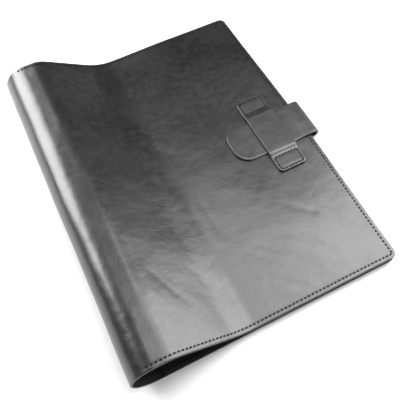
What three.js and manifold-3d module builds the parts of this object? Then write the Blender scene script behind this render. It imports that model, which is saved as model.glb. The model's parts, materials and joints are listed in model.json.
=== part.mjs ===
// A leather cover for an A5 notebook: one skin of outer leather wraps from the back panel round a full
// spine roll to the front panel, a thin liner is sewn inside each panel, and a strap comes round the fore
// edge from the back and slips under a keeper on the front.
//
// Millimetres. +X runs from the spine to the fore edge, +Y along the spine, +Z up from the table. The
// cover lies closed on its back panel. Leather that bends is cut into strips that hinge on one another.
import * as THREE from 'three';
import { mergeVertices } from 'three/addons/utils/BufferGeometryUtils.js';
import Module from 'manifold-3d';

const wasm = await Module();
wasm.setup();

// ---------------------------------------------------------------- driving dimensions
const HEIGHT = 225; // along the spine
const FORE_EDGE = 171; // from the outside of the spine to the fore edge
const CORNER_RADIUS = 4.5; // of the panels, at the fore edge

const OUTER = 1.2; // outer leather
const LINER = 0.5; // liner leather
const GAP = 0.3; // between pieces that touch
const PANEL_GAP = 0.4; // between the two closed panels
const PANEL = OUTER + GAP + LINER;
const FRONT_TOP = 2 * PANEL + PANEL_GAP;

const ROLL_RADIUS = 15.4; // outside of the spine roll
const ROLL_TOP = 2 * ROLL_RADIUS;
const CREST_LENGTH = 6.6; // level stretch on top of the roll
const CREST_RADIUS = 17.4; // where the crest turns down onto the front
const VALLEY_RADIUS = 34; // where the front levels out
const SLOPE = THREE.MathUtils.degToRad(32); // how steeply the front leaves the crest
const SPINE_STRIPS = 5;
const LINER_MARGIN = 2; // between the roll and the back's liner, and between that and the end of its seam

const SEAM_INSET = 2.5; // stitching to the edge
const GROOVE_WIDTH = 1.2;
const GROOVE_DEPTH = 0.7;
const THREAD_WIDTH = 0.6;
const THREAD_TOP = 0.05; // how deep the thread lies in its groove
const THREAD_THICK = 0.35;
const SEAM_START = 0.6; // from the end of the front liner to the first stitch

const STRAP_WIDTH = 28.5;
const STRAP = 1.8; // strap leather
const STRAP_ROOT = 0.6; // its skived end, in the seam between the back's leather and liner
const STRAP_ROOT_START = 161.5;
const SKIVE_START = FORE_EDGE + 0.4;
const LOOP_X = 174.85; // centre of the turn round the fore edge
const LOOP_RADIUS = 2.75; // of the strap's middle surface
const STRAP_LIFT = 1.55; // how far the strap sinks from the loop to the keeper
const TONGUE_LIFT = 1.4; // how far the free tongue rises from the keeper to its tip
const TONGUE_TIP = 118.5;
const TONGUE_CORNER = 10.5;
const STRAP_FOLDS = 3;
const SPAN = LOOP_X + LOOP_RADIUS + STRAP / 2;

const KEEPER_X = 148.5; // middle of the keeper
const KEEPER_WIDTH = 20;
const KEEPER_LENGTH = 63;
const KEEPER = 1.5; // keeper leather
const KEEPER_CORNER = 3;
const KEEPER_MARGIN = 1.5; // the strap runs level this far to each side of the keeper
const PAD_LENGTH = 12.5; // the sewn end of the keeper
const RAMP_LENGTH = 3.6; // from a pad up to the arch
const PAD_SEAM_INSET = 1.8;

const ARC_STEP = THREE.MathUtils.degToRad(5);
const CORNER_SEGMENTS = 6;
const SHORTEST_STEP = 0.05;
const PAST = 1; // a cutting tool runs this far past what it cuts

// ---------------------------------------------------------------- paths
// A path is drawn like a pen stroke: straight stretches and arcs, one after another.
class Path {
  constructor(x, z, heading) {
    this.pieces = [];
    this.end = { x, z, heading };
    this.length = 0;
  }

  add(length, turn, at) {
    this.pieces.push({ from: this.length, length, turn, at });
    this.length += length;
    this.end = at(length);
    return this;
  }

  line(length) {
    const { x, z, heading } = this.end;
    return this.add(length, 0, (s) => ({
      x: x + s * Math.cos(heading),
      z: z + s * Math.sin(heading),
      heading,
    }));
  }

  // turn is positive to the left of the heading
  arc(radius, turn) {
    const { x, z, heading } = this.end;
    const side = Math.sign(turn);
    const cx = x - side * radius * Math.sin(heading);
    const cz = z + side * radius * Math.cos(heading);
    return this.add(radius * Math.abs(turn), turn, (s) => {
      const now = heading + (side * s) / radius;
      return { x: cx + side * radius * Math.sin(now), z: cz - side * radius * Math.cos(now), heading: now };
    });
  }

  // two equal arcs that step the path sideways by rise while it runs on by run
  step(run, rise) {
    const turn = 2 * Math.atan(rise / run);
    const radius = run / 2 / Math.sin(Math.abs(turn));
    return this.arc(radius, turn).arc(radius, -turn);
  }

  at(s) {
    const piece = this.pieces.find((p) => s <= p.from + p.length) ?? this.pieces.at(-1);
    return piece.at(s - piece.from);
  }

  // the point a distance to the left of the path
  beside(s, left) {
    const { x, z, heading } = this.at(s);
    return new THREE.Vector2(x - left * Math.sin(heading), z + left * Math.cos(heading));
  }

  // where the path has turned by an angle, counted from its start
  lengthAtTurn(angle) {
    let left = Math.abs(angle);
    for (const piece of this.pieces) {
      const turn = Math.abs(piece.turn);
      if (turn > 0 && left <= turn + 1e-9) {
        return piece.from + (piece.length * left) / turn;
      }
      left -= turn;
    }
    throw new Error('the path never turns that far');
  }

  // arc lengths from s0 to s1 that draw the path: its ends, its corners, and steps along its arcs
  stops(s0, s1) {
    const stops = [s0];
    for (const { from, length, turn } of this.pieces) {
      const count = Math.max(1, Math.round(Math.abs(turn) / ARC_STEP));
      for (let i = 0; i <= count; i++) {
        const s = from + (length * i) / count;
        if (s > stops.at(-1) + SHORTEST_STEP && s < s1 - SHORTEST_STEP) stops.push(s);
      }
    }
    return [...stops, s1];
  }
}

// ---------------------------------------------------------------- solids
function toManifold(geometry) {
  const bare = geometry.clone();
  bare.deleteAttribute('normal');
  bare.deleteAttribute('uv');
  const merged = mergeVertices(bare, 1e-5);
  return new wasm.Manifold(
    new wasm.Mesh({
      numProp: 3,
      vertProperties: new Float32Array(merged.attributes.position.array),
      triVerts: new Uint32Array(merged.index.array),
    }),
  );
}

function toGeometry(manifold) {
  const mesh = manifold.getMesh();
  const geometry = new THREE.BufferGeometry();
  geometry.setAttribute('position', new THREE.BufferAttribute(mesh.vertProperties, 3));
  geometry.setIndex(new THREE.BufferAttribute(mesh.triVerts, 1));
  geometry.computeVertexNormals();
  return geometry;
}

// an outline in X and Z, pulled along Y
function alongY(outline, y0, y1) {
  const geometry = new THREE.ExtrudeGeometry(new THREE.Shape(outline), {
    depth: y1 - y0,
    bevelEnabled: false,
  });
  return toManifold(geometry.rotateX(Math.PI / 2).translate(0, y1, 0));
}

// an outline in X and Y, pulled along Z
function alongZ(shape, z0, z1) {
  const geometry = new THREE.ExtrudeGeometry(shape, {
    depth: z1 - z0,
    bevelEnabled: false,
    curveSegments: CORNER_SEGMENTS,
  });
  return toManifold(geometry.translate(0, 0, z0));
}

// a sheet that follows a path between two distances to its left
function ribbon(path, s0, s1, left0, left1, y0, y1) {
  const stops = path.stops(s0, s1);
  const near = stops.map((s) => path.beside(s, left0));
  const far = stops.map((s) => path.beside(s, left1)).reverse();
  return alongY([...near, ...far], y0, y1);
}

function box(x0, x1, y0, y1, z0, z1) {
  const geometry = new THREE.BoxGeometry(x1 - x0, y1 - y0, z1 - z0);
  return toManifold(geometry.translate((x0 + x1) / 2, (y0 + y1) / 2, (z0 + z1) / 2));
}

// a rectangle in X and Y; left and right give the radius of its two corners on that side
function roundedRectangle(x0, x1, y0, y1, left, right) {
  const shape = new THREE.Shape();
  shape.moveTo(x0 + left, y0);
  shape.lineTo(x1 - right, y0);
  if (right) shape.absarc(x1 - right, y0 + right, right, -Math.PI / 2, 0);
  shape.lineTo(x1, y1 - right);
  if (right) shape.absarc(x1 - right, y1 - right, right, 0, Math.PI / 2);
  shape.lineTo(x0 + left, y1);
  if (left) shape.absarc(x0 + left, y1 - left, left, Math.PI / 2, Math.PI);
  shape.lineTo(x0, y0 + left);
  if (left) shape.absarc(x0 + left, y0 + left, left, Math.PI, 1.5 * Math.PI);
  return shape;
}

// ---------------------------------------------------------------- the outer leather and its liner
// The path is the outside of the leather, from the back's fore edge round the spine to the front's.
// The outside lies to the left of it, so the leather and the liner have negative distances.
const valleyDrop = VALLEY_RADIUS * (1 - Math.cos(SLOPE));
const crestDrop = CREST_RADIUS * (1 - Math.cos(SLOPE));
const slopeLength = (ROLL_TOP - FRONT_TOP - valleyDrop - crestDrop) / Math.sin(SLOPE);
const cover = new Path(FORE_EDGE, 0, Math.PI)
  .line(FORE_EDGE - ROLL_RADIUS)
  .arc(ROLL_RADIUS, -Math.PI)
  .line(CREST_LENGTH)
  .arc(CREST_RADIUS, -SLOPE)
  .line(slopeLength)
  .arc(VALLEY_RADIUS, SLOPE);
cover.line(FORE_EDGE - cover.end.x);

// one hinge more than there are strips, at even steps of turn; then the hinge in the valley
const turnPerStrip = (Math.PI + SLOPE) / (SPINE_STRIPS + 1);
const spineHinges = Array.from({ length: SPINE_STRIPS + 1 }, (_, i) =>
  cover.lengthAtTurn((i + 0.5) * turnPerStrip),
);
const valleyHinge = cover.lengthAtTurn(Math.PI + SLOPE * 1.5);
const hinges = [...spineHinges, valleyHinge];
const linerStart = hinges.at(-3); // the front liner reaches up over the crest
const backLinerEnd = FORE_EDGE - ROLL_RADIUS - LINER_MARGIN;

const HALF = HEIGHT / 2;
const SEAM_Y = HALF - SEAM_INSET;
const panelPlan = alongZ(
  roundedRectangle(-PAST, FORE_EDGE, -HALF, HALF, 0, CORNER_RADIUS),
  -PAST,
  ROLL_TOP + PAST,
);

// the seam runs along the near and far edges, and on the last panel of each cover along the fore edge too
function seam(s0, s1, width, top, bottom, forePanel) {
  const [inside, outside] = [SEAM_Y - width / 2, SEAM_Y + width / 2];
  if (!forePanel) {
    return [
      ribbon(cover, s0, s1, -top, -bottom, -outside, -inside),
      ribbon(cover, s0, s1, -top, -bottom, inside, outside),
    ];
  }
  const [in0, in1] = forePanel === 'back' ? [s0 + width, s1 + PAST] : [s0 - PAST, s1 - width];
  const middle = ribbon(cover, in0, in1, PAST - top, -bottom - PAST, -inside, inside);
  return [ribbon(cover, s0, s1, -top, -bottom, -outside, outside).subtract(middle)];
}

function grooves(s0, s1, forePanel) {
  return seam(s0, s1, GROOVE_WIDTH, -PAST, GROOVE_DEPTH, forePanel);
}

function threads(s0, s1, forePanel) {
  return seam(s0, s1, THREAD_WIDTH, THREAD_TOP, THREAD_TOP + THREAD_THICK, forePanel);
}

function cut(solid, tools) {
  return tools.reduce((rest, tool) => rest.subtract(tool), solid);
}

function leather(s0, s1, grooveTools) {
  return cut(ribbon(cover, s0, s1, 0, -OUTER, -HALF, HALF).intersect(panelPlan), grooveTools);
}

function liner(s0, s1) {
  return ribbon(cover, s0, s1, -(OUTER + GAP), -PANEL, -HALF, HALF).intersect(panelPlan);
}

// ---------------------------------------------------------------- strap
// The path is the strap's middle surface, from its sewn root round the fore edge to the tongue's tip.
const rootZ = OUTER + GAP + STRAP_ROOT / 2;
const keeperStretchStart = KEEPER_X + KEEPER_WIDTH / 2 + KEEPER_MARGIN;
const keeperStretchEnd = KEEPER_X - KEEPER_WIDTH / 2 - KEEPER_MARGIN;
const strap = new Path(STRAP_ROOT_START, rootZ, 0)
  .line(LOOP_X - STRAP_ROOT_START)
  .arc(LOOP_RADIUS, Math.PI)
  .step(LOOP_X - keeperStretchStart, STRAP_LIFT)
  .line(keeperStretchStart - keeperStretchEnd);
const underKeeperZ = strap.end.z;
const tongueTurn = 2 * Math.atan(TONGUE_LIFT / (keeperStretchEnd - TONGUE_TIP));
strap.arc((keeperStretchEnd - TONGUE_TIP) / Math.sin(tongueTurn), -tongueTurn);

const turnPerFold = Math.PI / (STRAP_FOLDS + 1);
const foldHinges = Array.from({ length: STRAP_FOLDS + 1 }, (_, i) =>
  strap.lengthAtTurn((i + 0.5) * turnPerFold),
);

function strapPiece(s0, s1) {
  return ribbon(strap, s0, s1, -STRAP / 2, STRAP / 2, -STRAP_WIDTH / 2, STRAP_WIDTH / 2);
}

function strapRoot(s1) {
  const outline = [];
  const skive = [
    [0, STRAP_ROOT],
    [SKIVE_START - STRAP_ROOT_START, STRAP_ROOT],
    [LOOP_X - STRAP_ROOT_START, STRAP],
  ];
  const profile = [...skive, ...strap.stops(LOOP_X - STRAP_ROOT_START, s1).slice(1).map((s) => [s, STRAP])];
  for (const [s, thick] of profile) outline.push(strap.beside(s, -thick / 2));
  for (const [s, thick] of profile.reverse()) outline.push(strap.beside(s, thick / 2));
  return alongY(outline, -STRAP_WIDTH / 2, STRAP_WIDTH / 2);
}

function strapTongue(s0) {
  const plan = roundedRectangle(
    TONGUE_TIP,
    SPAN + PAST,
    -STRAP_WIDTH / 2,
    STRAP_WIDTH / 2,
    TONGUE_CORNER,
    0,
  );
  return strapPiece(s0, strap.length).intersect(alongZ(plan, 0, ROLL_TOP));
}

// ---------------------------------------------------------------- keeper
// Its path lies in Y and Z, drawn in the same way and then turned to face along X.
const padZ = FRONT_TOP + GAP + KEEPER / 2;
const archZ = underKeeperZ + STRAP / 2 + GAP + KEEPER / 2;
const archLength = KEEPER_LENGTH - 2 * (PAD_LENGTH + RAMP_LENGTH);
const keeperPath = new Path(-KEEPER_LENGTH / 2, padZ, 0)
  .line(PAD_LENGTH)
  .step(RAMP_LENGTH, archZ - padZ)
  .line(archLength)
  .step(RAMP_LENGTH, padZ - archZ)
  .line(PAD_LENGTH);

function acrossKeeper(s0, s1, left0, left1, x0, x1) {
  return ribbon(keeperPath, s0, s1, left0, left1, -x1, -x0).rotate([0, 0, 90]);
}

// a box of stitches on each pad, closed by a line across at the foot of the ramp
function padSeam(side, width, top, bottom) {
  const outer = KEEPER_LENGTH / 2 - PAD_SEAM_INSET;
  const inner = KEEPER_LENGTH / 2 - PAD_LENGTH + PAD_SEAM_INSET / 2;
  const half = KEEPER_WIDTH / 2 - PAD_SEAM_INSET;
  const z = padZ + KEEPER / 2;
  const frame = (grow) => {
    const [y0, y1] = [side * inner, side * outer].sort((a, b) => a - b);
    return [KEEPER_X - half - grow, KEEPER_X + half + grow, y0 - grow, y1 + grow];
  };
  return box(...frame(width / 2), z - bottom, z - top).subtract(
    box(...frame(-width / 2), z - bottom - PAST, z - top + PAST),
  );
}

const SIDES = { near: -1, far: 1 };

function keeper() {
  const plan = roundedRectangle(
    KEEPER_X - KEEPER_WIDTH / 2,
    KEEPER_X + KEEPER_WIDTH / 2,
    -KEEPER_LENGTH / 2,
    KEEPER_LENGTH / 2,
    KEEPER_CORNER,
    KEEPER_CORNER,
  );
  const half = KEEPER_WIDTH / 2;
  const strip = acrossKeeper(0, keeperPath.length, -KEEPER / 2, KEEPER / 2, KEEPER_X - half, KEEPER_X + half);
  const pads = Object.values(SIDES).map((side) => padSeam(side, GROOVE_WIDTH, -PAST, GROOVE_DEPTH));
  return cut(strip.intersect(alongZ(plan, 0, ROLL_TOP)), pads);
}

// ---------------------------------------------------------------- assembly
const group = new THREE.Group();
group.position.x = -SPAN / 2;

const finishes = {
  leather: { color: 0x2b2b2d, roughness: 0.38, metalness: 0 },
  liner: { color: 0x1c1c1d, roughness: 0.85, metalness: 0 },
  thread: { color: 0x101010, roughness: 0.7, metalness: 0 },
};

function addNode(name, manifold, finish) {
  const mesh = new THREE.Mesh(toGeometry(manifold), new THREE.MeshStandardMaterial(finishes[finish]));
  mesh.name = name;
  group.add(mesh);
}

const halfGap = GAP / 2;
const spans = hinges.slice(0, -1).map((s, i) => [s + halfGap, hinges[i + 1] - halfGap]);
const crestSpan = spans.at(-2);
const slopeSpan = spans.at(-1);
const backSpan = [0, hinges[0] - halfGap];
const frontSpan = [valleyHinge + halfGap, cover.length];

// the back cover
const backSeamEnd = backLinerEnd - LINER_MARGIN;
const slotY = STRAP_WIDTH / 2 + GAP;
const strapSlot = box(STRAP_ROOT_START - GAP, FORE_EDGE + PAST, -slotY, slotY, 0, FRONT_TOP);
const seamEdge = (width) => SEAM_INSET - width / 2;
const backGroove = grooves(seamEdge(GROOVE_WIDTH), backSeamEnd + GAP, 'back');
addNode('back_cover_leather', leather(...backSpan, backGroove), 'leather');
addNode('back_liner', liner(0, backLinerEnd).subtract(strapSlot), 'liner');
addNode('back_edge_thread', threads(seamEdge(THREAD_WIDTH), backSeamEnd, 'back')[0], 'thread');

// the spine, strip by strip; the last strip is the crest, where the front liner and its seam begin
const crestSeam = [crestSpan[0] + SEAM_START, crestSpan[1]];
spans.slice(0, -1).forEach((span, i) => {
  const tools = i === SPINE_STRIPS - 1 ? grooves(crestSpan[0] - PAST, crestSpan[1] + PAST) : [];
  addNode(`spine_leather_${i + 1}`, leather(...span, tools), 'leather');
});
addNode('crest_liner', liner(linerStart + halfGap, crestSpan[1]), 'liner');
threads(...crestSeam).forEach((solid, i) => {
  addNode(`crest_thread_${Object.keys(SIDES)[i]}`, solid, 'thread');
});

// the front's sloping shoulder
const slopeGrooves = grooves(slopeSpan[0] - PAST, slopeSpan[1] + PAST);
addNode('front_slope_leather', leather(...slopeSpan, slopeGrooves), 'leather');
addNode('slope_liner', liner(...slopeSpan), 'liner');
threads(...slopeSpan).forEach((solid, i) => {
  addNode(`slope_thread_${Object.keys(SIDES)[i]}`, solid, 'thread');
});

// the front cover and its keeper
const frontGrooves = grooves(frontSpan[0] - PAST, frontSpan[1] - seamEdge(GROOVE_WIDTH), 'front');
addNode('front_cover_leather', leather(...frontSpan, frontGrooves), 'leather');
addNode('front_liner', liner(...frontSpan), 'liner');
const frontThreads = threads(frontSpan[0], frontSpan[1] - seamEdge(THREAD_WIDTH), 'front');
addNode('front_edge_thread', frontThreads[0], 'thread');
addNode('keeper', keeper(), 'leather');
for (const [name, side] of Object.entries(SIDES)) {
  addNode(`keeper_thread_${name}`, padSeam(side, THREAD_WIDTH, THREAD_TOP, THREAD_TOP + THREAD_THICK), 'thread');
}

// the strap
addNode('strap_root', strapRoot(foldHinges[0] - halfGap), 'leather');
for (let i = 0; i < STRAP_FOLDS; i++) {
  addNode(`strap_fold_${i + 1}`, strapPiece(foldHinges[i] + halfGap, foldHinges[i + 1] - halfGap), 'leather');
}
addNode('strap_tongue', strapTongue(foldHinges.at(-1) + halfGap), 'leather');

export default group;
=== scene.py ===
# The visible model of the leather notebook cover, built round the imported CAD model.
#
# Lengths below are in millimetres and are turned into metres when a mesh is made. Everything sewn into
# the cover is placed by (s, y, left): s runs along the outside of the leather from the back's fore edge
# round the spine to the front's, y runs along the spine, and left is the distance out of the leather.
import json
import math

import bpy
import numpy as np
from mathutils import Matrix, Vector

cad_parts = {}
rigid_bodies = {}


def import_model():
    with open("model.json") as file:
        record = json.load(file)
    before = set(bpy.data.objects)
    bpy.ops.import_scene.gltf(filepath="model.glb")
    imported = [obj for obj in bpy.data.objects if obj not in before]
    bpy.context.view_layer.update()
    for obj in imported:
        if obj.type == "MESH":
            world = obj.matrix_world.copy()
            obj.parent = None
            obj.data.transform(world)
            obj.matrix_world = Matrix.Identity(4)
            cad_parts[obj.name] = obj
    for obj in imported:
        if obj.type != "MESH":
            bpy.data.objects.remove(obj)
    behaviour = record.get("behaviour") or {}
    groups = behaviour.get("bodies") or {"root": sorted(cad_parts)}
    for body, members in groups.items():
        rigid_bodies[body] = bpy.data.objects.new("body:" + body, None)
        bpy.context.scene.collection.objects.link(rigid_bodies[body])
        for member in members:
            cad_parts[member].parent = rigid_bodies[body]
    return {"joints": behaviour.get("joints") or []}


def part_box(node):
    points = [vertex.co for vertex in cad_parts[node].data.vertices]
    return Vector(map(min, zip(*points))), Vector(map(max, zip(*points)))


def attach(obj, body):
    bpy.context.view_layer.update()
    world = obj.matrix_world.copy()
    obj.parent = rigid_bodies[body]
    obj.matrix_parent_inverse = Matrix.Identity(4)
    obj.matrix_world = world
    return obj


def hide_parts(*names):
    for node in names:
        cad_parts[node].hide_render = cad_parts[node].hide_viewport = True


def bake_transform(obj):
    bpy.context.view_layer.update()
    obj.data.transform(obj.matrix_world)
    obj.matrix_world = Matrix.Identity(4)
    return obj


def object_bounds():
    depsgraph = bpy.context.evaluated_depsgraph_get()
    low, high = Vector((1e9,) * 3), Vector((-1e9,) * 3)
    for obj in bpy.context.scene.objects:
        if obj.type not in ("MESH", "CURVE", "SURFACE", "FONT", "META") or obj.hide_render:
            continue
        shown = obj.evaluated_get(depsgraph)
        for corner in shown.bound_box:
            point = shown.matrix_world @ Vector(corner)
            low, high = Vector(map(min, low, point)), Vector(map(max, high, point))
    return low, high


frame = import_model()
cad_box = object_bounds()

# ---------------------------------------------------------------- sizes
MM = 0.001
JOINTS = {j["name"]: j for j in frame["joints"]}


def node_box(name):
    """A CAD node's lowest and highest corner, in millimetres."""
    return [np.array(corner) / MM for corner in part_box(name)]


back_corner = node_box("back_cover_leather")[1]
keeper_low, keeper_high = node_box("keeper")
tongue_low, tongue_high = node_box("strap_tongue")
HALF_SPAN = cad_box[1].x / MM
SPINE_X = cad_box[0].x / MM
FORE_X = back_corner[0]
WIDTH = FORE_X - SPINE_X
HALF = back_corner[1]
FRONT_TOP = node_box("front_cover_leather")[1][2]
ROLL_TOP = node_box("spine_leather_5")[1][2]
ROLL_RADIUS = ROLL_TOP / 2

CORNER_RADIUS = 4.5
CREST_LENGTH = 6.6
CREST_RADIUS = 17.4
VALLEY_RADIUS = 34
SLOPE = math.radians(32)
OUTER = 1.2  # thickness of the outer leather
PANEL = 2.0  # thickness of the outer leather and its liner
SEAM_INSET = 2.5
SEAM_WIDTH = 0.5  # half the width of the dip that a row of stitches pulls into the leather
SEAM_DIP = 0.1
STITCH_PITCH = 2.56
INNER_ROUND = 0.2  # rounding of edges that lie against another piece
FREE_ROUND = 0.3  # rounding of the free edges of a liner and of the keeper's underside

STRAP = 1.8
STRAP_HALF = tongue_high[1]
STRAP_ROOT = 6  # how much of the strap is caught in the back's fore-edge seam
STRAP_ROOT_X = FORE_X - STRAP_ROOT
STRAP_MIDDLE_Z = 1.8
LOOP_X = HALF_SPAN - 3.65
LOOP_RADIUS = 2.75
STRAP_LIFT = 1.55
TONGUE_LIFT = 1.4
TONGUE_CORNER = 10.5

KEEPER = 1.5
KEEPER_CORNER = 3
PAD_LENGTH = 12.5
PAD_GAP = 0.3  # between the front leather and the keeper in the CAD model
RAMP_LENGTH = 3.6
KEEPER_X = (keeper_low[0] + keeper_high[0]) / 2
KEEPER_HALF_WIDTH = (keeper_high[0] - keeper_low[0]) / 2
KEEPER_HALF_LENGTH = keeper_high[1]


# ---------------------------------------------------------------- paths
class Path:
    """Straight stretches and arcs, drawn one after another in a plane of (x, z)."""

    def __init__(self, x, z, heading):
        self.pieces = []
        self.start = (x, z, heading)
        self.length = 0.0

    def add(self, length, turn):
        self.pieces.append((self.length, length, *self.end(), turn))
        self.length += length
        return self

    def end(self):
        if not self.pieces:
            return self.start
        x, z, heading = self.at(np.array([self.length]))
        return float(x[0]), float(z[0]), float(heading[0])

    def line(self, length):
        return self.add(length, 0.0)

    def arc(self, radius, turn):
        return self.add(radius * abs(turn), turn)

    def step(self, run, rise):
        turn = 2 * math.atan(rise / run)
        radius = run / 2 / math.sin(abs(turn))
        return self.arc(radius, turn).arc(radius, -turn)

    def at(self, s):
        s = np.asarray(s, float)
        x, z, heading = np.zeros(s.shape), np.zeros(s.shape), np.zeros(s.shape)
        for i, (begin, length, x0, z0, h0, turn) in enumerate(self.pieces):
            here = (s >= begin) if i else np.ones(s.shape, bool)
            ds = s - begin
            now = h0 + turn * ds / length
            if turn:
                radius = length / turn
                px = x0 + radius * (np.sin(now) - math.sin(h0))
                pz = z0 - radius * (np.cos(now) - math.cos(h0))
            else:
                px = x0 + ds * math.cos(h0)
                pz = z0 + ds * math.sin(h0)
            x = np.where(here, px, x)
            z = np.where(here, pz, z)
            heading = np.where(here, now, heading)
        return x, z, heading

    def beside(self, s, left):
        x, z, heading = self.at(s)
        return x - left * np.sin(heading), z + left * np.cos(heading)

    def nearest(self, x, z):
        """How far along the path the point (x, z) lies."""
        s = np.linspace(0, self.length, 8000)
        px, pz = self.beside(s, 0.0)
        return float(s[np.argmin((px - x) ** 2 + (pz - z) ** 2)])


valley_drop = VALLEY_RADIUS * (1 - math.cos(SLOPE))
crest_drop = CREST_RADIUS * (1 - math.cos(SLOPE))
slope_length = (ROLL_TOP - FRONT_TOP - valley_drop - crest_drop) / math.sin(SLOPE)
cover = Path(FORE_X, 0, math.pi).line(WIDTH - ROLL_RADIUS).arc(ROLL_RADIUS, -math.pi)
cover.line(CREST_LENGTH).arc(CREST_RADIUS, -SLOPE).line(slope_length).arc(VALLEY_RADIUS, SLOPE)
VALLEY_END = cover.length
cover.line(FORE_X - cover.end()[0])
FORE_S = cover.length

KEEPER_CLEARANCE = 1.5  # the strap runs level this far beyond the keeper on both sides
level_start = KEEPER_X + KEEPER_HALF_WIDTH + KEEPER_CLEARANCE
level_stop = KEEPER_X - KEEPER_HALF_WIDTH - KEEPER_CLEARANCE
strap = Path(STRAP_ROOT_X, STRAP_MIDDLE_Z, 0).line(LOOP_X - STRAP_ROOT_X).arc(LOOP_RADIUS, math.pi)
strap.step(LOOP_X - level_start, STRAP_LIFT).line(level_start - level_stop)
tongue_run = level_stop - tongue_low[0]
tongue_turn = 2 * math.atan(TONGUE_LIFT / tongue_run)
strap.arc(tongue_run / math.sin(tongue_turn), -tongue_turn)


# ---------------------------------------------------------------- zones
# A zone is a stretch of a path that rides on one body, or lies between two across their joint.
def hinge_points(names):
    return [[c / MM for c in JOINTS[name]["pos_m"]][::2] for name in names]


COVER_JOINTS = ["cover_open"] + [f"spine_bend_{i}" for i in range(2, 6)] + ["crest_bend", "valley_bend"]
STRAP_JOINTS = ["strap_open"] + [f"strap_bend_{i}" for i in range(2, 5)]
cover_hinges = [cover.nearest(x, z) for x, z in hinge_points(COVER_JOINTS)]
strap_hinges = [strap.nearest(x, z) for x, z in hinge_points(STRAP_JOINTS)]


def chain(joints):
    return [JOINTS[joints[0]]["parent"]] + [JOINTS[name]["child"] for name in joints]


SHORTEST_RIGID = 0.5  # a rigid stretch shorter than this is left to the bend beside it


def make_zones(path, bodies, hinges, reach):
    """reach gives how far each bend runs before and after its hinge; in between a body is rigid."""
    zones, s = [], 0.0
    for i, hinge in enumerate(hinges):
        begin, stop = hinge - reach[i][0], hinge + reach[i][1]
        if begin > s + SHORTEST_RIGID:
            zones.append((s, begin, (bodies[i],)))
        else:
            begin = s
        zones.append((begin, stop, (bodies[i], bodies[i + 1])))
        s = stop
    zones.append((s, path.length, (bodies[-1],)))
    return zones


CREST_REACH = 7.0  # how far the bend at the crest runs on down the slope
TONGUE_REACH = 8.0  # how far the last bend of the strap runs on into the tongue

half_strips = [(b - a) / 2 for a, b in zip(cover_hinges, cover_hinges[1:])]
half_valley = VALLEY_RADIUS * SLOPE / 2
roll_start = WIDTH - ROLL_RADIUS
cover_reach = [(cover_hinges[0] - roll_start, half_strips[0])]
cover_reach += [(half_strips[i - 1], half_strips[i]) for i in range(1, 5)]
cover_reach += [(half_strips[4], CREST_REACH), (half_valley, half_valley)]
COVER_ZONES = make_zones(cover, chain(COVER_JOINTS), cover_hinges, cover_reach)

half_fold = (strap_hinges[1] - strap_hinges[0]) / 2
strap_reach = [(half_fold, half_fold)] * 3 + [(half_fold, TONGUE_REACH)]
STRAP_ZONES = make_zones(strap, chain(STRAP_JOINTS), strap_hinges, strap_reach)

# a margin at both ends of a zone at which place looks up the path; the points it finds are not used, and no
# bend is made
WEIGHT_MARGIN = {id(cover): 0.7, id(strap): 0.35}


def place(obj, path, zone, nodes):
    """Rides the finished piece on its body where its zone has one; a piece between two bodies is only baked
    in place, not bent. Says which CAD nodes it stands for.
    """
    begin, stop, bodies = zone
    if len(bodies) == 1:
        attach(obj, bodies[0])
    else:
        margin = WEIGHT_MARGIN[id(path)]
        for s in (begin + margin, stop - margin):
            x, z = path.beside(s, 0.0)
        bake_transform(obj)
    if nodes:
        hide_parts(*nodes)


# ---------------------------------------------------------------- small tools
def smooth(t):
    t = np.clip(t, 0, 1)
    return t * t * (3 - 2 * t)


def bell(x, width):
    return np.exp(-((x / width) ** 2))


def quarter_round(distance, radius):
    """How far a rounded edge has dropped at a distance in from the outline."""
    inside = np.clip(radius - distance, 0, radius)
    return radius - np.sqrt(radius**2 - inside**2)


def rounded_distance(to_end, to_side, radius):
    """Distance in from the outline of a panel with rounded corners."""
    a, b = np.maximum(radius - to_end, 0), np.maximum(radius - to_side, 0)
    return np.where((a > 0) & (b > 0), radius - np.hypot(a, b), np.minimum(to_end, to_side))


def corner_half(half, to_end, radius):
    """Half the width of a panel with rounded corners, at a distance from its end."""
    inside = np.clip(radius - to_end, 0, radius)
    return half - radius + np.sqrt(radius**2 - inside**2)


EDGE_STEPS = np.array([0, 0.06, 0.3, 0.65, 1.0])


def edge_stops(radius, seam=False):
    """Distances from an edge at which a mesh has its lines: close together on the rounding and the seam."""
    seam_stops = [0.9, 1.35, 1.75, 2.1, 2.5, 2.9, 3.3, 3.8, 4.5, 5.6] if seam else [1.6, 2.6, 4.0]
    return np.array([*(EDGE_STEPS * radius), *seam_stops])


def spread(begin, stop, step):
    count = max(1, int(round((stop - begin) / step)))
    return np.linspace(begin, stop, count + 1)


def rows_across(half, radius, step, seam=False):
    near_edge = edge_stops(radius, seam)
    inner = half - near_edge[-1]
    middle = spread(-inner, inner, step)
    return np.concatenate([near_edge - half, middle[1:-1], (half - near_edge)[::-1]])


# ---------------------------------------------------------------- the cover's shape
FRONT_RAMP = 40.0  # the front's deviations from flat grow over this length from the valley
CLOSURE_S = FORE_S - 24  # the middle of the ground that the keeper and the strap stand on


def wander(s, y):
    """How far the front strays towards the fore edge, where it bows out in the middle."""
    along_front = smooth((s - VALLEY_END) / (FORE_S - VALLEY_END))
    return along_front * (0.5 + 0.8 * np.cos(math.pi * y / HALF) - 0.3 * y / HALF)


def beside_closure(s, y, length, half):
    """0 in the middle of the ground under the keeper and the strap, rising to 1 away from it."""
    return 1 - bell(s - CLOSURE_S, length) * bell(y, half)


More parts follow.
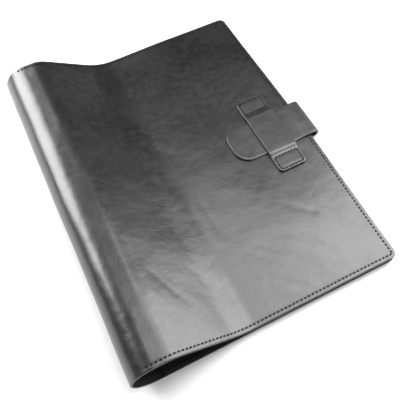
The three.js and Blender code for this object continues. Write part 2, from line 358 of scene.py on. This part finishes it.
def swell(s, y):
    """Soft unevenness of the leather, out of its surface. It fades towards the keeper and the strap."""
    x = s - VALLEY_END
    front = smooth(x / FRONT_RAMP) * smooth((FORE_S - s) / 14)
    clear = beside_closure(s, y, 26, 46)
    waves = 0.20 + 0.16 * np.sin(x / 13.0 + y / 23.0) + 0.14 * np.sin(y / 17.0 - x / 31.0 + 1.3)
    roll = 0.12 * np.sin(y / 19.0 + 0.7) + 0.08 * np.sin(y / 7.7 + s / 9.0)
    on_roll = smooth((s - roll_start) / 8) * smooth((VALLEY_END - s) / 20)
    return waves * front * clear + roll * on_roll


def cover_point(s, y, left):
    left = left + swell(s, y)
    x, z = cover.beside(s, left)
    return np.stack([x + wander(s, y), y + 0 * s, z + 0 * y], -1) * MM


def strap_point(s, y, left):
    x, z = strap.beside(s, left)
    return np.stack([x, y + 0 * s, z + 0 * y], -1) * MM


# ---------------------------------------------------------------- meshes
class Shell:
    """A closed sheet between two surfaces over a grid of columns (along) and rows (across)."""

    def __init__(self, point, along, across, high, low, ends=(True, True)):
        # along, across, high and low are arrays of columns by rows; high is on the left of the path
        self.columns, self.rows = along.shape
        self.along = along
        top, bottom = point(along, across, high), point(along, across, low)
        self.verts = np.concatenate([top.reshape(-1, 3), bottom.reshape(-1, 3)])
        flat = np.stack([along, across], -1).reshape(-1, 2) * MM
        self.flat = np.concatenate([flat, flat])
        self.ends = ends

    def index(self, column, row, low=False):
        return column * self.rows + row + (self.columns * self.rows if low else 0)

    def walls(self, columns, row, reverse):
        c = np.array(columns)
        upper = [self.index(c, row), self.index(c + 1, row)]
        lower = [self.index(c + 1, row, True), self.index(c, row, True)]
        quads = np.stack(upper + lower, -1)
        return quads[:, ::-1] if reverse else quads

    def cap(self, column, reverse):
        r = np.arange(self.rows - 1)
        upper = [self.index(column, r), self.index(column, r + 1)]
        lower = [self.index(column, r + 1, True), self.index(column, r, True)]
        quads = np.stack(upper + lower, -1)
        return quads[:, ::-1] if reverse else quads

    def faces(self, first, last):
        """Both surfaces and both sides, for the columns from first to last."""
        c, r = np.meshgrid(np.arange(first, last), np.arange(self.rows - 1), indexing="ij")
        c, r = c.ravel(), r.ravel()
        around = [(0, 0), (1, 0), (1, 1), (0, 1)]
        top = np.stack([self.index(c + i, r + j) for i, j in around], -1)
        bottom = np.stack([self.index(c + j, r + i, True) for i, j in around], -1)
        span = range(first, last)
        sides = [self.walls(span, 0, True), self.walls(span, self.rows - 1, False)]
        return np.concatenate([top, bottom, *sides])

    def end_faces(self):
        parts = []
        if self.ends[0]:
            parts.append(self.cap(0, False))
        if self.ends[1]:
            parts.append(self.cap(self.columns - 1, True))
        return parts


def new_mesh(name, verts, faces, flat, normals=None):
    mesh = bpy.data.meshes.new(name)
    mesh.from_pydata(verts, [], faces)
    layer = mesh.uv_layers.new(name="flat")
    corners = np.zeros(len(mesh.loops), np.int32)
    mesh.loops.foreach_get("vertex_index", corners)
    layer.data.foreach_set("uv", flat[corners].astype(np.float32).ravel())
    mesh.polygons.foreach_set("use_smooth", np.ones(len(mesh.polygons), bool))
    mesh.update()
    if normals is not None:
        mesh.normals_split_custom_set(normals)
    return mesh


def new_object(name, mesh, materials):
    obj = bpy.data.objects.new(name, mesh)
    bpy.context.scene.collection.objects.link(obj)
    for material in materials:
        mesh.materials.append(material)
    return obj


def edge_and_flesh(distance, radius, flesh=2):
    """Which material each face takes, from its corners: 1 on the rounded edge, flesh underneath, else 0."""
    from_edge = np.concatenate([distance.ravel(), distance.ravel()])
    below = np.arange(len(from_edge)) >= len(from_edge) // 2

    def kinds(faces):
        on_edge = from_edge[faces].mean(1) < 0.75 * radius
        return np.where(on_edge, 1, np.where(below[faces].all(1), flesh, 0))

    return kinds


def zone_columns(shell, zone):
    """The first and last column of a shell inside a zone, or None."""
    s = shell.along[:, shell.rows // 2]
    inside = np.flatnonzero((s > zone[0] - 1e-6) & (s < zone[1] + 1e-6))
    return (int(inside[0]), int(inside[-1])) if len(inside) > 1 else None


def build_sheet(name, shell, path, zones, nodes, materials, slot, flip=False, kinds=None):
    """One object per zone, cut from one sheet so that shape and shading run on across the seams."""
    whole = np.concatenate([shell.faces(0, shell.columns - 1), *shell.end_faces()])
    if flip:
        whole = whole[:, ::-1]
    mesh = new_mesh(name + "_whole", shell.verts, whole, shell.flat)
    vectors = np.zeros(len(mesh.vertices) * 3, np.float32)
    mesh.vertices.foreach_get("normal", vectors)
    vectors = vectors.reshape(-1, 3)
    bpy.data.meshes.remove(mesh)
    for number, zone in enumerate(zones):
        span = zone_columns(shell, zone)
        if span is None:
            continue
        first, last = span
        skin, first_cap, last_cap = shell.faces(first, last), shell.cap(first, False), shell.cap(last, True)
        faces = np.concatenate([skin, first_cap, last_cap])
        real_end = np.ones(len(faces), bool)
        if first > 0:
            real_end[len(skin) : len(skin) + len(first_cap)] = False
        if last < shell.columns - 1:
            real_end[len(skin) + len(first_cap) :] = False
        if flip:
            faces = faces[:, ::-1]
        used, local = np.unique(faces, return_inverse=True)
        local = local.reshape(faces.shape)
        verts = shell.verts[used]
        corner_normals = vectors[used][local]
        quads = verts[local[~real_end]]
        cap_normals = np.cross(quads[:, 2] - quads[:, 0], quads[:, 3] - quads[:, 1])
        cap_normals /= np.maximum(np.linalg.norm(cap_normals, axis=1, keepdims=True), 1e-12)
        corner_normals[~real_end] = cap_normals[:, None, :]
        label = f"{name}_{number}" if len(zones) > 1 else name
        mesh = new_mesh(label, verts, local.tolist(), shell.flat[used], corner_normals.reshape(-1, 3))
        obj = new_object(label, mesh, materials)
        if kinds is not None:
            mesh.polygons.foreach_set("material_index", kinds(faces).astype(np.int32))
        place(obj, path, zone, nodes.get(zone[2][-1], []))


# ---------------------------------------------------------------- outer leather
EDGE_ROUND = 0.45
LEATHER_STEP = 1.25  # between the lines of a mesh, away from its edges
LINER_STEP = 2.0
BACK_LINER_END = roll_start - 2
BACK_SEAM = (BACK_LINER_END - 2, SEAM_INSET)
FRONT_LINER_START = cover_hinges[4] + 0.15
FRONT_SEAM = (FRONT_LINER_START + 0.8, FORE_S - SEAM_INSET)

VALLEY_X = cover.end()[0] - (FORE_S - VALLEY_END)

# soft creases of a cover that has been handled: start and end as (millimetres from the spine, y), width
# and depth
CREASES = [
    ((26, -54), (45, -92), 2.0, 0.12),
    ((50, -58), (74, -92), 2.8, 0.09),
    ((80, -18), (87, -62), 2.4, 0.14),
    ((78, -74), (116, -110), 2.3, 0.22),
    ((90, -64), (108, -90), 2.0, 0.14),
    ((97, -64), (121, -93), 2.2, 0.18),
    ((114, -60), (140, -95), 2.3, 0.18),
    ((126, -46), (147, -70), 2.6, 0.13),
    ((152, -56), (157, -86), 1.9, 0.15),
    ((148, -66), (151, -96), 2.0, 0.15),
    ((62, 34), (92, 8), 3.0, 0.10),
    ((98, 88), (126, 66), 2.8, 0.08),
]


def crease_relief(s, y):
    """A soft furrow along each crease, slightly curved."""
    x = s - VALLEY_END + (VALLEY_X - SPINE_X)
    relief = 0 * x
    for (x0, y0), (x1, y1), width, depth in CREASES:
        length = math.hypot(x1 - x0, y1 - y0)
        ux, uy = (x1 - x0) / length, (y1 - y0) / length
        along = ((x - x0) * ux + (y - y0) * uy) / length
        off = (y - y0) * ux - (x - x0) * uy + 1.2 * np.sin(along * 3.4 + x0)
        fade = smooth(along * 3) * smooth((1 - along) * 3)
        relief = relief - fade * depth * bell(off, width)
    return relief


def cover_distance(s, y):
    return rounded_distance(np.minimum(s, FORE_S - s), HALF - np.abs(y), CORNER_RADIUS)


def stitched(s):
    """1 along both seams, falling to 0 on the spine between them."""
    return smooth(BACK_SEAM[0] + 1 - s) + smooth(s - FRONT_SEAM[0] + 1)


def leather_high(s, y):
    distance = cover_distance(s, y)
    dip = SEAM_DIP * bell(distance - SEAM_INSET, SEAM_WIDTH) * stitched(s)
    clear = beside_closure(s, y, 24, 44)
    return crease_relief(s, y) * clear - dip - quarter_round(distance, EDGE_ROUND)


def leather_low(s, y):
    return -OUTER + quarter_round(cover_distance(s, y), INNER_ROUND)


ROOT_RISE = 0.33  # the back liner lies this much higher where it covers the strap's root
GLUE_LINE = 0.03  # between the outer leather and a liner


def liner_high(s, y):
    top = -(OUTER + GLUE_LINE) - quarter_round(cover_distance(s, y), INNER_ROUND)
    return top - ROOT_RISE * over_root(s, y)


def liner_low(s, y):
    return -PANEL + quarter_round(cover_distance(s, y), FREE_ROUND) - ROOT_RISE * over_root(s, y)


def over_root(s, y):
    """1 where the back liner covers the strap's root, fading out round it."""
    return smooth((9 - s) / 2) * smooth((STRAP_HALF + 2 - np.abs(y)) / 2)


def columns_along(begin, stop, zones, step, radius, ends=(True, True), seam=False):
    """Where a sheet's columns lie: on every zone boundary, close together at its real ends."""
    near, far = begin, stop
    marks = []
    stops = edge_stops(radius, seam)
    if ends[0]:
        marks.append(begin + stops)
        near = begin + stops[-1]
    if ends[1]:
        marks.append(stop - stops)
        far = stop - stops[-1]
    cuts = [z[0] for z in zones if near + 0.6 < z[0] < far - 0.6]
    points = [near, *cuts, far]
    marks += [spread(a, b, step) for a, b in zip(points, points[1:])]
    return np.unique(np.round(np.concatenate([*marks, [begin, stop]]), 6))


def snapped(zones):
    """Zones with their ends rounded as the columns are, so that the two meet."""
    return [(round(a, 6), round(b, 6), bodies) for a, b, bodies in zones]


COVER_ZONES = snapped(COVER_ZONES)
STRAP_ZONES = snapped(STRAP_ZONES)


def cover_grid(begin, stop, step, ends, seam=True):
    columns = columns_along(begin, stop, COVER_ZONES, step, EDGE_ROUND, ends, seam)
    rows = rows_across(HALF, EDGE_ROUND, step, seam)
    to_end = np.minimum(columns, FORE_S - columns)
    share = corner_half(HALF, to_end, CORNER_RADIUS) / HALF
    return np.repeat(columns[:, None], len(rows), 1), share[:, None] * rows[None, :]


LEATHER_NODES = {
    "back_cover": ["back_cover_leather"],
    **{f"spine_{i}": [f"spine_leather_{i}"] for i in range(1, 6)},
    "front_slope": ["front_slope_leather"],
    "front_cover": ["front_cover_leather"],
}


def build_outer_leather(materials):
    s, y = cover_grid(0, FORE_S, LEATHER_STEP, (True, True))
    shell = Shell(cover_point, s, y, leather_high(s, y), leather_low(s, y))
    kinds = edge_and_flesh(cover_distance(s, y), EDGE_ROUND)
    look = {"materials": materials, "slot": "black_leather", "kinds": kinds}
    build_sheet("outer_leather", shell, cover, COVER_ZONES, LEATHER_NODES, **look)


def build_liners(materials):
    front_nodes = {"spine_5": ["crest_liner"], "front_slope": ["slope_liner"], "front_cover": ["front_liner"]}
    liners = {
        "back_liner": (0, BACK_LINER_END, (True, False), {"back_cover": ["back_liner"]}),
        "front_liner": (FRONT_LINER_START, FORE_S, (False, True), front_nodes),
    }
    for name, (begin, stop, ends, nodes) in liners.items():
        s, y = cover_grid(begin, stop, LINER_STEP, ends)
        shell = Shell(cover_point, s, y, liner_high(s, y), liner_low(s, y))
        build_sheet(name, shell, cover, COVER_ZONES, nodes, materials, "liner_leather")


# ---------------------------------------------------------------- stitches
STITCH_RINGS = np.array([-1, -0.86, -0.55, 0, 0.55, 0.86, 1])
STITCH_SIDES = 8
STITCH_HALF = 0.92
STITCH_RADIUS = 0.48
STITCH_SLANT = math.radians(7)
STITCH_RISE = 0.24  # a stitch's core stands this far out of the leather in the middle
STITCH_DIVE = 0.7  # and lies this much lower at both ends
STITCH_TAPER = 0.45
STITCH_FLATNESS = 0.8


def stitch_template(half):
    """One stitch as rings of (along, across, up), fat in the middle, its ends diving into their holes."""
    turn = np.linspace(0, 2 * math.pi, STITCH_SIDES, endpoint=False)
    rings = []
    for a in STITCH_RINGS:
        width = STITCH_RADIUS * (1 - STITCH_TAPER * a**4)
        height = STITCH_RISE - STITCH_DIVE * a**4
        across, up = width * np.cos(turn), height + STITCH_FLATNESS * width * np.sin(turn)
        rings.append(np.stack([0 * turn + a * half, across, up], -1))
    verts = np.concatenate(rings)
    faces = []
    for ring in range(len(STITCH_RINGS) - 1):
        for i in range(STITCH_SIDES):
            j = (i + 1) % STITCH_SIDES
            a, b = ring * STITCH_SIDES, (ring + 1) * STITCH_SIDES
            faces.append((a + i, a + j, b + j, b + i))
    last = (len(STITCH_RINGS) - 1) * STITCH_SIDES
    caps = [tuple(reversed(range(STITCH_SIDES))), tuple(range(last, last + STITCH_SIDES))]
    return verts, faces, caps


def run_of_stitches(start, stop, pitch=STITCH_PITCH):
    """Evenly spaced stitches from one point to another: each is (middle, direction, half length)."""
    start, stop = np.array(start, float), np.array(stop, float)
    length = np.linalg.norm(stop - start)
    count = max(1, int(round(length / pitch)))
    direction = (stop - start) / length
    half = STITCH_HALF * (length / count) / STITCH_PITCH
    return [(start + direction * length * (i + 0.5) / count, direction, half) for i in range(count)]


def build_stitches(name, stitches, point, surface, up, material, placer, flip=False):
    """Joins stitches into one object. up is 1 on the left of the path and -1 on its right. flip turns the
    faces round, for a point function that mirrors the path."""
    verts, faces, flat = [], [], []
    for middle, direction, half in stitches:
        template, quads, caps = stitch_template(half)
        slant = STITCH_SLANT * up
        ux = direction[0] * math.cos(slant) - direction[1] * math.sin(slant)
        uy = direction[0] * math.sin(slant) + direction[1] * math.cos(slant)
        s = middle[0] + template[:, 0] * ux - template[:, 1] * uy
        y = middle[1] + template[:, 0] * uy + template[:, 1] * ux
        left = surface(np.full(s.shape, middle[0]), np.full(s.shape, middle[1])) + up * template[:, 2]
        base = sum(len(v) for v in verts)
        verts.append(point(s, y, left))
        flat.append(template[:, :2] * MM)
        own = [tuple(base + i for i in face) for face in [*quads, *caps]]
        faces += own if (up > 0) != flip else [face[::-1] for face in own]
    mesh = new_mesh(name, np.concatenate(verts), faces, np.concatenate(flat))
    obj = new_object(name, mesh, [material])
    placer(obj)


def panel_seam(begin, corner):
    """The seam round a panel: along one edge, down the fore edge and back along the other."""
    edge = HALF - SEAM_INSET
    corners = [(begin, -edge), (corner, -edge), (corner, edge), (begin, edge)]
    return [stitch for run in zip(corners, corners[1:]) for stitch in run_of_stitches(*run)]


THREAD_NODES = {
    "back_cover": ["back_edge_thread"],
    "spine_5": ["crest_thread_near", "crest_thread_far"],
    "front_slope": ["slope_thread_near", "slope_thread_far"],
    "front_cover": ["front_edge_thread"],
}


def build_panel_seams(material):
    for panel, seam in (("back", BACK_SEAM), ("front", FRONT_SEAM)):
        stitches = panel_seam(*seam)
        for number, zone in enumerate(COVER_ZONES):
            own = [stitch for stitch in stitches if zone[0] <= stitch[0][0] < zone[1]]
            if not own:
                continue

            def placer(obj, zone=zone):
                place(obj, cover, zone, THREAD_NODES.get(zone[2][-1], []))

            for face, surface, up in (("out", leather_high, 1), ("in", liner_low, -1)):
                name = f"{panel}_stitches_{face}_{number}"
                build_stitches(name, own, cover_point, surface, up, material, placer)


# ---------------------------------------------------------------- strap
STRAP_ROUND = 0.6
SKIVE_LENGTH = 3.6  # the strap grows to its whole thickness over this length
SKIVED_TOP, SKIVED_BOTTOM = -0.28, -0.58  # the faces of the thinned root, from the strap's middle
SKIVED_ROUND = 0.1


def strap_distance(s, y):
    return rounded_distance(strap.length - s, STRAP_HALF - np.abs(y), TONGUE_CORNER)


def full_strap(s):
    """0 where the skived root is caught in the seam, 1 where the strap has its whole thickness."""
    return smooth((s - STRAP_ROOT - 0.2) / SKIVE_LENGTH)


def strap_high(s, y):
    drop = quarter_round(strap_distance(s, y), STRAP_ROUND)
    full = full_strap(s)
    return (STRAP / 2 - drop) * full + (1 - full) * (SKIVED_TOP - SKIVED_ROUND * drop)


def strap_low(s, y):
    drop = quarter_round(strap_distance(s, y), STRAP_ROUND)
    full = full_strap(s)
    return (-STRAP / 2 + drop) * full + (1 - full) * (SKIVED_BOTTOM + SKIVED_ROUND * drop)


STRAP_NODES = {
    "back_cover": ["strap_root"],
    **{f"strap_fold_{i}": [f"strap_fold_{i}"] for i in range(1, 4)},
    "strap_tongue": ["strap_tongue"],
}


def build_strap(materials):
    columns = columns_along(0, strap.length, STRAP_ZONES, 0.8, STRAP_ROUND, (False, True))
    rows = rows_across(STRAP_HALF, STRAP_ROUND, 1.0)
    share = corner_half(STRAP_HALF, strap.length - columns, TONGUE_CORNER) / STRAP_HALF
    s, y = np.repeat(columns[:, None], len(rows), 1), share[:, None] * rows[None, :]
    shell = Shell(strap_point, s, y, strap_high(s, y), strap_low(s, y))
    kinds = edge_and_flesh(strap_distance(s, y), STRAP_ROUND, flesh=0)
    build_sheet("strap", shell, strap, STRAP_ZONES, STRAP_NODES, materials, "black_leather", kinds=kinds)


# ---------------------------------------------------------------- keeper
KEEPER_ROUND = 0.5
PAD_Z = FRONT_TOP + PAD_GAP + KEEPER / 2
ARCH_Z = keeper_high[2] - KEEPER / 2
arch_length = 2 * (KEEPER_HALF_LENGTH - PAD_LENGTH - RAMP_LENGTH)
keeper_path = Path(-KEEPER_HALF_LENGTH, PAD_Z, 0).line(PAD_LENGTH).step(RAMP_LENGTH, ARCH_Z - PAD_Z)
keeper_path.line(arch_length).step(RAMP_LENGTH, PAD_Z - ARCH_Z).line(PAD_LENGTH)
PAD_SEAM = 1.8
PAD_SEAM_FOOT = PAD_LENGTH - 0.9
PAD_SEAM_DIP = 0.18
PAD_SINK = 0.27  # the pads reach this much lower, nearly across the gap, to lie on the leather
PAD_PITCH = 2.3


def keeper_point(s, across, left):
    y, z = keeper_path.beside(s, left)
    return np.stack([KEEPER_X + across + 0 * s, y, z + 0 * across], -1) * MM


def keeper_distance(s, across):
    to_end = np.minimum(s, keeper_path.length - s)
    return rounded_distance(to_end, KEEPER_HALF_WIDTH - np.abs(across), KEEPER_CORNER)


def on_pads(s):
    return smooth((PAD_LENGTH - np.minimum(s, keeper_path.length - s)) / 1.5)


def keeper_high_side(s, across):
    distance = keeper_distance(s, across)
    foot = PAD_SEAM_FOOT - np.minimum(s, keeper_path.length - s)
    seam = np.maximum(bell(distance - PAD_SEAM, SEAM_WIDTH) * (foot > 0), bell(foot, SEAM_WIDTH))
    dip = PAD_SEAM_DIP * seam * on_pads(s + 0 * across)
    return KEEPER / 2 - quarter_round(distance, KEEPER_ROUND) - dip


def keeper_low_side(s, across):
    distance = keeper_distance(s, across)
    sunk = PAD_SINK * on_pads(s + 0 * across)
    return -KEEPER / 2 - sunk + quarter_round(distance, FREE_ROUND)


def build_keeper(materials, thread):
    columns = columns_along(0, keeper_path.length, [], 0.8, KEEPER_ROUND)
    rows = rows_across(KEEPER_HALF_WIDTH, KEEPER_ROUND, 0.7)
    to_end = np.minimum(columns, keeper_path.length - columns)
    share = corner_half(KEEPER_HALF_WIDTH, to_end, KEEPER_CORNER) / KEEPER_HALF_WIDTH
    s, across = np.repeat(columns[:, None], len(rows), 1), share[:, None] * rows[None, :]
    shell = Shell(keeper_point, s, across, keeper_high_side(s, across), keeper_low_side(s, across))
    kinds = edge_and_flesh(keeper_distance(s, across), KEEPER_ROUND, flesh=0)
    zones = snapped([(0.0, keeper_path.length, ("front_cover",))])
    nodes = {"front_cover": ["keeper"]}
    look = {"materials": materials, "slot": "black_leather", "kinds": kinds}
    build_sheet("keeper_strip", shell, keeper_path, zones, nodes, flip=True, **look)

    half = KEEPER_HALF_WIDTH - PAD_SEAM
    for side, mirror in (("near", False), ("far", True)):
        outer, foot = PAD_SEAM, PAD_SEAM_FOOT
        if mirror:
            outer, foot = keeper_path.length - outer, keeper_path.length - foot
        corners = [(outer, -half), (foot, -half), (foot, half), (outer, half), (outer, -half)]
        stitches = [x for a, b in zip(corners, corners[1:]) for x in run_of_stitches(a, b, PAD_PITCH)]

        def placer(obj, side=side):
            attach(obj, "front_cover")
            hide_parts(f"keeper_thread_{side}")

        name = f"keeper_stitches_{side}"
        build_stitches(name, stitches, keeper_point, keeper_high_side, 1, thread, placer, flip=True)


# ---------------------------------------------------------------- materials
def new_material(name):
    material = bpy.data.materials.new(name)
    material.use_nodes = True
    tree = material.node_tree
    return material, tree, tree.nodes["Principled BSDF"]


def add_node(tree, kind, links=None, **values):
    """A node with its values set. links maps an input's name or number to an output socket."""
    node = tree.nodes.new(kind)
    for key, value in values.items():
        if hasattr(node, key):
            setattr(node, key, value)
        else:
            node.inputs[key.replace("_", " ")].default_value = value
    for key, socket in (links or {}).items():
        tree.links.new(socket, node.inputs[key])
    return node


def flat_millimetres(tree):
    uv = add_node(tree, "ShaderNodeUVMap", uv_map="flat")
    scale = add_node(tree, "ShaderNodeVectorMath", {0: uv.outputs["UV"]}, operation="SCALE")
    scale.inputs["Scale"].default_value = 1 / MM
    return scale.outputs["Vector"]


def noise(tree, vector, size, detail=3.0, roughness=0.5):
    """Noise whose lumps are about size millimetres."""
    values = {"Scale": 1 / size, "Detail": detail, "Roughness": roughness}
    return add_node(tree, "ShaderNodeTexNoise", {"Vector": vector}, **values).outputs["Fac"]


def ramp(tree, value, low, high, to_low=0.0, to_high=1.0):
    values = {"From_Min": low, "From_Max": high, "To_Min": to_low, "To_Max": to_high}
    return add_node(tree, "ShaderNodeMapRange", {"Value": value}, **values).outputs["Result"]


def math_node(tree, operation, a, b):
    node = add_node(tree, "ShaderNodeMath", operation=operation)
    for i, value in enumerate((a, b)):
        if isinstance(value, (int, float)):
            node.inputs[i].default_value = value
        else:
            tree.links.new(value, node.inputs[i])
    return node.outputs["Value"]


def weighted(tree, first, second, share):
    """The sum of two values, the first weighted by share and the second by what is left."""
    parts = [math_node(tree, "MULTIPLY", first, share), math_node(tree, "MULTIPLY", second, 1 - share)]
    return math_node(tree, "ADD", *parts)


def colour_between(tree, factor, dark, light):
    node = add_node(tree, "ShaderNodeMix", {"Factor": factor}, data_type="RGBA")
    node.inputs["A"].default_value = (*dark, 1)
    node.inputs["B"].default_value = (*light, 1)
    return node.outputs["Result"]


def bumps(tree, layers):
    """Bump nodes one on another. Each layer is (height, distance in millimetres, strength)."""
    normal = None
    for height, distance, strength in layers:
        links = {"Height": height}
        if normal is not None:
            links["Normal"] = normal
        node = add_node(tree, "ShaderNodeBump", links, Strength=strength, Distance=distance * MM)
        normal = node.outputs["Normal"]
    return normal


def leather_material(name, dark, light, gloss):
    """Smooth, lightly waxed leather: pebbled grain, soft wrinkles, and a tone that shifts over the hide."""
    material, tree, shader = new_material(name)
    place_mm = flat_millimetres(tree)
    drift = noise(tree, place_mm, 34, 4, 0.6)
    mottle = noise(tree, place_mm, 4.5, 3, 0.55)
    tone = weighted(tree, drift, mottle, 0.5)
    colour = colour_between(tree, ramp(tree, tone, 0.38, 0.62), dark, light)
    tree.links.new(colour, shader.inputs["Base Color"])
    tree.links.new(ramp(tree, tone, 0.36, 0.64, *gloss), shader.inputs["Roughness"])

    warp = add_node(tree, "ShaderNodeTexNoise", {"Vector": place_mm}, Scale=0.9, Detail=2.0)
    bent = add_node(tree, "ShaderNodeVectorMath", {0: place_mm, 1: warp.outputs["Color"]}, operation="ADD")
    pebbles = {"Scale": 1.25, "feature": "SMOOTH_F1"}
    cells = add_node(tree, "ShaderNodeTexVoronoi", {"Vector": bent.outputs["Vector"]}, **pebbles)
    swells = noise(tree, place_mm, 14, 2, 0.5)
    wrinkles = noise(tree, place_mm, 6, 2, 0.5)
    lumps = noise(tree, place_mm, 1.4, 1, 0.5)
    layers = [
        (swells, 0.6, 0.6),
        (wrinkles, 0.06, 0.5),
        (lumps, 0.07, 0.7),
        (cells.outputs["Distance"], 0.04, 0.6),
    ]
    tree.links.new(bumps(tree, layers), shader.inputs["Normal"])
    shader.inputs["IOR"].default_value = 1.65
    shader.inputs["Coat Weight"].default_value = 0.2
    shader.inputs["Coat Roughness"].default_value = 0.15
    return material


def edge_material():
    """The cut edge of the leather, dyed and rubbed smooth. Its grey, lighter than the leather, is partly its
    own colour and partly a painted highlight for the rims that catch the light.
    """
    material, tree, shader = new_material("edge_with_painted_highlight")
    place_mm = flat_millimetres(tree)
    fibres = noise(tree, place_mm, 0.8, 4, 0.6)
    # the edge's light grey is partly a painted highlight: it lightens the rims the way the light falling on
    # them would
    colour = colour_between(tree, fibres, (0.035, 0.035, 0.036), (0.09, 0.09, 0.092))
    tree.links.new(colour, shader.inputs["Base Color"])
    tree.links.new(ramp(tree, fibres, 0.3, 0.7, 0.34, 0.46), shader.inputs["Roughness"])
    tree.links.new(bumps(tree, [(fibres, 0.05, 0.6)]), shader.inputs["Normal"])
    return material


def nap_material(name, dark, light, size):
    """Soft short nap: the flesh side of the leather, and the liner."""
    material, tree, shader = new_material(name)
    place_mm = flat_millimetres(tree)
    nap = noise(tree, place_mm, size, 5, 0.7)
    brushed = noise(tree, place_mm, 18, 3, 0.5)
    tone = weighted(tree, nap, brushed, 0.6)
    colour = colour_between(tree, ramp(tree, tone, 0.35, 0.65), dark, light)
    tree.links.new(colour, shader.inputs["Base Color"])
    tree.links.new(ramp(tree, tone, 0.3, 0.7, 0.72, 0.92), shader.inputs["Roughness"])
    tree.links.new(bumps(tree, [(nap, 0.08, 0.6)]), shader.inputs["Normal"])
    shader.inputs["Sheen Weight"].default_value = 0.06
    shader.inputs["Sheen Roughness"].default_value = 0.5
    return material


def thread_material():
    """Waxed thread with the twist of its plies."""
    material, tree, shader = new_material("waxed_thread")
    place_mm = flat_millimetres(tree)
    plies = {"Scale": 0.9, "Distortion": 0.6, "bands_direction": "DIAGONAL"}
    tone = add_node(tree, "ShaderNodeTexWave", {"Vector": place_mm}, **plies).outputs["Fac"]
    colour = colour_between(tree, tone, (0.002, 0.002, 0.002), (0.008, 0.008, 0.008))
    tree.links.new(colour, shader.inputs["Base Color"])
    tree.links.new(ramp(tree, tone, 0.0, 1.0, 0.75, 0.6), shader.inputs["Roughness"])
    tree.links.new(bumps(tree, [(tone, 0.08, 0.7)]), shader.inputs["Normal"])
    shader.inputs["Specular IOR Level"].default_value = 0.25
    return material


def floor_material():
    material, tree, shader = new_material("pale_floor")
    position = add_node(tree, "ShaderNodeNewGeometry").outputs["Position"]
    speckle = add_node(tree, "ShaderNodeTexNoise", {"Vector": position}, Scale=60.0, Detail=2.0)
    colour = colour_between(tree, speckle.outputs["Fac"], (0.86, 0.86, 0.86), (0.89, 0.89, 0.89))
    tree.links.new(colour, shader.inputs["Base Color"])
    shader.inputs["Roughness"].default_value = 0.8
    shader.inputs["Specular IOR Level"].default_value = 0.2
    return material


# ---------------------------------------------------------------- stage, light and camera
FLOOR_DROP = 0.5  # how far the floor lies under the back panel, which rests on its stitches


def build_floor():
    bpy.ops.mesh.primitive_plane_add(size=8, location=(0, 0, -FLOOR_DROP * MM))
    floor = bpy.context.object
    floor.name = "floor"
    floor.data.materials.append(floor_material())


LIGHT_DISTANCE = 1.0  # in metres, from the frame's origin


def softbox(name, azimuth, elevation, size, power):
    """A rectangular light facing the frame's origin. Azimuth is counted from +X towards +Y, both
    angles are in degrees, the size in metres and the power in watts."""
    data = bpy.data.lights.new(name, "AREA")
    data.shape = "RECTANGLE"
    data.size, data.size_y = size
    data.energy = power
    light = bpy.data.objects.new(name, data)
    a, e = math.radians(azimuth), math.radians(elevation)
    outwards = Vector((math.cos(e) * math.cos(a), math.cos(e) * math.sin(a), math.sin(e)))
    light.location = LIGHT_DISTANCE * outwards
    light.rotation_mode = "QUATERNION"
    light.rotation_quaternion = light.location.to_track_quat("Z", "Y")
    bpy.context.scene.collection.objects.link(light)


def build_light():
    softbox("right", 3, 42, (0.62, 1.0), 14.5)
    softbox("overhead", 45, 78, (0.5, 0.5), 4.2)
    softbox("behind_spine", 128, 32, (0.8, 0.6), 17.0)
    softbox("near", -60, 35, (0.6, 0.6), 1.6)
    world = bpy.data.worlds.new("studio")
    world.use_nodes = True
    background = world.node_tree.nodes["Background"]
    background.inputs["Color"].default_value = (1, 1, 1, 1)
    background.inputs["Strength"].default_value = 0.12
    bpy.context.scene.world = world
    bpy.context.scene.view_settings.view_transform = "Standard"


# the camera: angles in radians, place in metres, lens and sensor in millimetres
CAMERA_AZIMUTH = -0.395
CAMERA_ELEVATION = 1.069
CAMERA_ROLL = -0.074
CAMERA_PLACE = (-0.068255, -0.173574, 0.299477)
CAMERA_LENS = 47.39
CAMERA_SENSOR = 36


def build_camera():
    data = bpy.data.cameras.new("camera")
    data.lens = CAMERA_LENS
    data.sensor_width = CAMERA_SENSOR
    data.clip_start, data.clip_end = 0.01, 20
    camera = bpy.data.objects.new("camera", data)
    cos_e = math.cos(CAMERA_ELEVATION)
    sin_a, cos_a = math.sin(CAMERA_AZIMUTH), math.cos(CAMERA_AZIMUTH)
    back = Vector((sin_a * cos_e, -cos_a * cos_e, math.sin(CAMERA_ELEVATION)))
    right = (-back).cross(Vector((0, 0, 1))).normalized()
    up = back.cross(right)
    tilted = Matrix((right, up, back)).transposed() @ Matrix.Rotation(CAMERA_ROLL, 3, "Z")
    camera.matrix_world = Matrix.Translation(CAMERA_PLACE) @ tilted.to_4x4()
    bpy.context.scene.collection.objects.link(camera)
    bpy.context.scene.camera = camera


# ---------------------------------------------------------------- the whole
leather = leather_material("smooth_leather", (0.003, 0.003, 0.003), (0.009, 0.009, 0.0093), (0.29, 0.36))
strap_leather = leather_material("strap_leather", (0.004, 0.004, 0.004), (0.011, 0.011, 0.0113), (0.34, 0.41))
edge = edge_material()
flesh = nap_material("flesh_side", (0.006, 0.006, 0.006), (0.018, 0.018, 0.018), 0.35)
lining = nap_material("liner_nap", (0.006, 0.006, 0.006), (0.020, 0.020, 0.020), 0.25)
thread = thread_material()

build_outer_leather([leather, edge, flesh])
build_liners([lining])
build_panel_seams(thread)
build_strap([strap_leather, edge])
build_keeper([strap_leather, edge], thread)
build_floor()
build_light()
build_camera()
